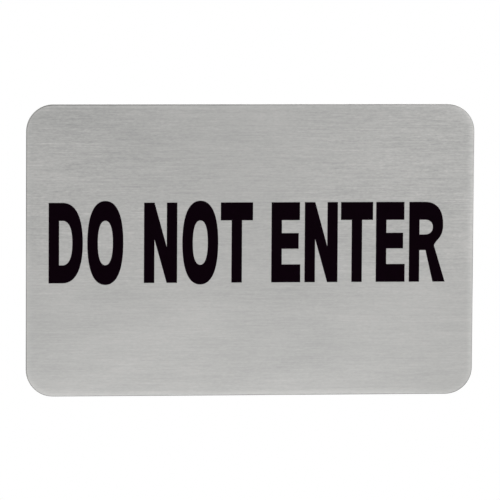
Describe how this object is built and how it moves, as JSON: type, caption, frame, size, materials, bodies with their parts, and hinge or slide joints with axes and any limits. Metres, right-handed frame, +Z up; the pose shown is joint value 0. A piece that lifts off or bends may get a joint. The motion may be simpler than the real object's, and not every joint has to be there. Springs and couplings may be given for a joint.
{
  "type": "no entry sign plate",
  "caption": "Flat rectangular door sign of brushed stainless sheet with rounded corners and a black printed legend, held up by foam tape strips on its back.",
  "frame": {"origin": "middle of the plate's back face, where the tape sticks to it; the plate and its tape are equally thick, so this is also the middle of the whole sign's box", "axes": "+X along the plate to the reader's right, +Z up the plate, -Y out of the printed front, so +Y points into the door"},
  "size_m": [0.1, 0.002, 0.065],
  "materials": {
    "brushed_stainless": "brushed from side to side",
    "foam_tape": "closed-cell foam with a tacky face",
    "legend_ink": "satin screen-print ink"
  },
  "bodies": {
    "root": {"sign_plate": "brushed_stainless", "adhesive_strip_upper": "foam_tape", "adhesive_strip_lower": "foam_tape"}
  },
  "joints": []
}
